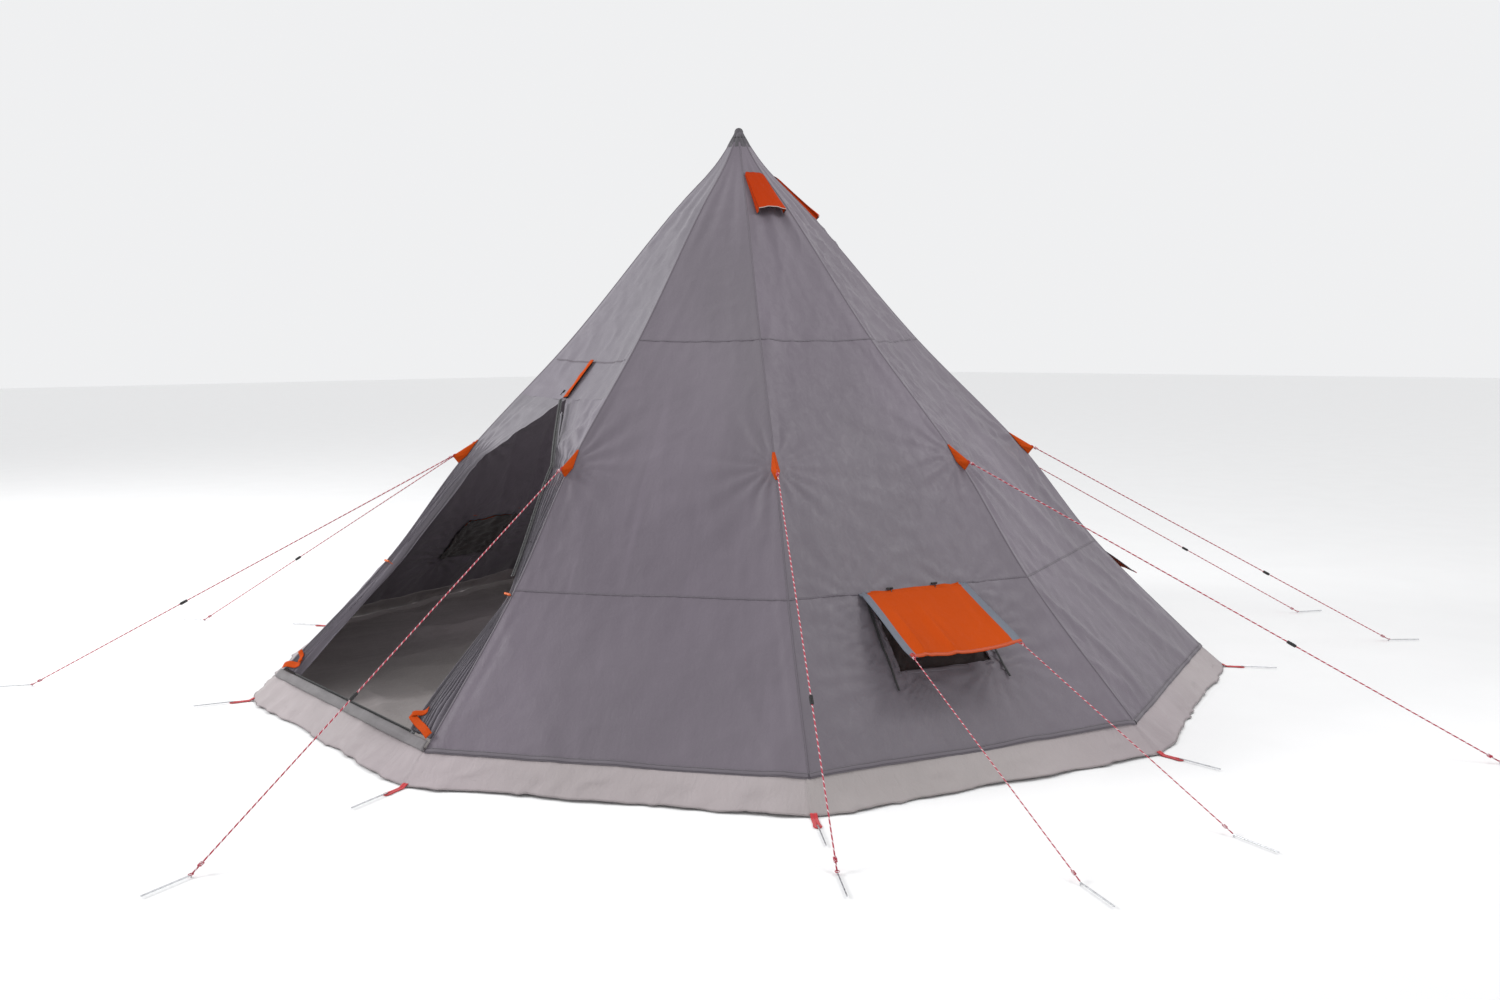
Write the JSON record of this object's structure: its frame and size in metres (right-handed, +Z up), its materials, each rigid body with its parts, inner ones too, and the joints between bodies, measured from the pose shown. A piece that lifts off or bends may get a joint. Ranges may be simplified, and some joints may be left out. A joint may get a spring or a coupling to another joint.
{
  "type": "teepee tent",
  "caption": "Ten-sided teepee tent on a centre pole, pitched with guy lines, door tied open and one window awning propped out.",
  "frame": {"origin": "centre of the ten-sided footprint, on the ground", "axes": "+Z up along the pole; the door faces -Y; +X is to the right of a person facing the door from outside"},
  "size_m": [6.8218, 6.4374, 2.645],
  "materials": {
    "canopy_cloth": "plain-woven coated polyester, soft sheen",
    "mud_wall_cloth": "heavier coated polyester, matt",
    "groundsheet_cloth": "laminated polyethylene weave",
    "sill_cloth": "coated polyester, doubled",
    "orange_cloth": "coated polyester",
    "insect_mesh": "fine knitted mesh",
    "zip_tape": "knitted tape with coil",
    "zip_metal": "black lacquer",
    "tie_ribbon": "woven ribbon",
    "red_webbing": "woven webbing",
    "guy_cord": "braided polyester, red and white",
    "pole_steel": "powder coated",
    "foot_plastic": "moulded",
    "peak_plastic": "moulded",
    "toggle_plastic": "moulded",
    "runner_plastic": "moulded",
    "peg_steel": "zinc plated wire"
  },
  "bodies": {
    "tent": {"pole_lower": "pole_steel", "pole_middle": "pole_steel", "pole_upper": "pole_steel", "pole_foot": "foot_plastic", "peak_cap": "peak_plastic", "groundsheet": "groundsheet_cloth", "mud_wall": "mud_wall_cloth", "wall_1": "canopy_cloth", "wall_2_front_window": "canopy_cloth", "wall_3": "canopy_cloth", "wall_4_window": "canopy_cloth", "walls_5_6_7_rear": "canopy_cloth", "wall_8_window": "canopy_cloth", "wall_9": "canopy_cloth", "door_header": "canopy_cloth", "door_sill": "sill_cloth", "door_leaf_left": "canopy_cloth", "door_leaf_right": "canopy_cloth", "mesh_door_roll": "insect_mesh", "door_rain_flap": "orange_cloth", "zip_tapes": "zip_tape", "toggles": "toggle_plastic", "mesh_panels": "insect_mesh", "awning_ties": "tie_ribbon", "guy_tabs": "orange_cloth", "peg_loops": "red_webbing", "corner_pegs": "peg_steel", "guy_pegs": "peg_steel", "guy_line_0": "guy_cord", "guy_line_1": "guy_cord", "guy_line_2": "guy_cord", "guy_line_3": "guy_cord", "guy_line_4": "guy_cord", "guy_line_5": "guy_cord", "guy_line_6": "guy_cord", "guy_line_7": "guy_cord", "guy_line_8": "guy_cord", "guy_line_9": "guy_cord", "awning_guy_left": "guy_cord", "awning_guy_right": "guy_cord"},
    "awning_front": {"awning_front": "orange_cloth"},
    "awning_right": {"awning_right": "orange_cloth"},
    "awning_rear": {"awning_rear": "orange_cloth"},
    "awning_left": {"awning_left": "orange_cloth"},
    "vent_hood_front": {"vent_hood_front": "orange_cloth"},
    "vent_hood_right": {"vent_hood_right": "orange_cloth"},
    "vent_hood_rear": {"vent_hood_rear": "orange_cloth"},
    "door_zip_slider": {"door_zip_slider": "zip_metal"},
    "sill_zip_slider": {"sill_zip_slider": "zip_metal"},
    "line_runner_0": {"line_runner_0": "runner_plastic"},
    "line_runner_1": {"line_runner_1": "runner_plastic"},
    "line_runner_2": {"line_runner_2": "runner_plastic"},
    "line_runner_3": {"line_runner_3": "runner_plastic"},
    "line_runner_4": {"line_runner_4": "runner_plastic"},
    "line_runner_5": {"line_runner_5": "runner_plastic"},
    "line_runner_6": {"line_runner_6": "runner_plastic"},
    "line_runner_7": {"line_runner_7": "runner_plastic"},
    "line_runner_8": {"line_runner_8": "runner_plastic"},
    "line_runner_9": {"line_runner_9": "runner_plastic"}
  },
  "joints": [
    {"name": "awning_front_hinge", "type": "hinge", "parent": "tent", "child": "awning_front", "pos_m": [1.62537, -0.52812, 0.59963], "axis": [-0.309, -0.9511, 0], "range_deg": [-22, 0]},
    {"name": "awning_right_hinge", "type": "hinge", "parent": "tent", "child": "awning_right", "pos_m": [1.00454, 1.38262, 0.59963], "axis": [0.809, -0.5878, 0], "range_deg": [-12, 68]},
    {"name": "awning_rear_hinge", "type": "hinge", "parent": "tent", "child": "awning_rear", "pos_m": [-1.00454, 1.38262, 0.59963], "axis": [0.809, 0.5878, 0], "range_deg": [0, 80]},
    {"name": "awning_left_hinge", "type": "hinge", "parent": "tent", "child": "awning_left", "pos_m": [-1.62537, -0.52812, 0.59963], "axis": [-0.309, 0.9511, 0], "range_deg": [0, 80]},
    {"name": "vent_hood_front_hinge", "type": "hinge", "parent": "tent", "child": "vent_hood_front", "pos_m": [0.18332, -0.05956, 2.39], "axis": [-0.309, -0.9511, 0], "range_deg": [-6, 0]},
    {"name": "vent_hood_right_hinge", "type": "hinge", "parent": "tent", "child": "vent_hood_right", "pos_m": [0.1133, 0.15594, 2.39], "axis": [0.809, -0.5878, 0], "range_deg": [-6, 0]},
    {"name": "vent_hood_rear_hinge", "type": "hinge", "parent": "tent", "child": "vent_hood_rear", "pos_m": [-0.1133, 0.15594, 2.39], "axis": [0.809, 0.5878, 0], "range_deg": [-6, 0]},
    {"name": "door_zip_slide", "type": "slide", "parent": "tent", "child": "door_zip_slider", "axis": [0, 0.6812, 0.7321], "range_m": [0, 0.13]},
    {"name": "sill_zip_slide", "type": "slide", "parent": "tent", "child": "sill_zip_slider", "axis": [1, 0, 0], "range_m": [-1.1, 0]},
    {"name": "line_runner_0_slide", "type": "slide", "parent": "tent", "child": "line_runner_0", "axis": [0.2657, -0.8176, -0.5109], "range_m": [-0.5, 0.4]},
    {"name": "line_runner_1_slide", "type": "slide", "parent": "tent", "child": "line_runner_1", "axis": [0.6399, -0.4649, -0.6119], "range_m": [-0.5, 0.4]},
    {"name": "line_runner_2_slide", "type": "slide", "parent": "tent", "child": "line_runner_2", "axis": [0.8076, 0.3636, -0.4644], "range_m": [-0.5, 0.4]},
    {"name": "line_runner_3_slide", "type": "slide", "parent": "tent", "child": "line_runner_3", "axis": [0.4829, 0.7401, -0.468], "range_m": [-0.5, 0.4]},
    {"name": "line_runner_4_slide", "type": "slide", "parent": "tent", "child": "line_runner_4", "axis": [0.5538, 0.6755, -0.4868], "range_m": [-0.5, 0.4]},
    {"name": "line_runner_5_slide", "type": "slide", "parent": "tent", "child": "line_runner_5", "axis": [-0.264, 0.8126, -0.5195], "range_m": [-0.5, 0.4]},
    {"name": "line_runner_6_slide", "type": "slide", "parent": "tent", "child": "line_runner_6", "axis": [-0.6913, 0.5022, -0.5195], "range_m": [-0.5, 0.4]},
    {"name": "line_runner_7_slide", "type": "slide", "parent": "tent", "child": "line_runner_7", "axis": [-0.8545, 0, -0.5195], "range_m": [-0.5, 0.4]},
    {"name": "line_runner_8_slide", "type": "slide", "parent": "tent", "child": "line_runner_8", "axis": [-0.6913, -0.5022, -0.5195], "range_m": [-0.5, 0.4]},
    {"name": "line_runner_9_slide", "type": "slide", "parent": "tent", "child": "line_runner_9", "axis": [-0.5547, -0.688, -0.468], "range_m": [-0.5, 0.4]}
  ]
}
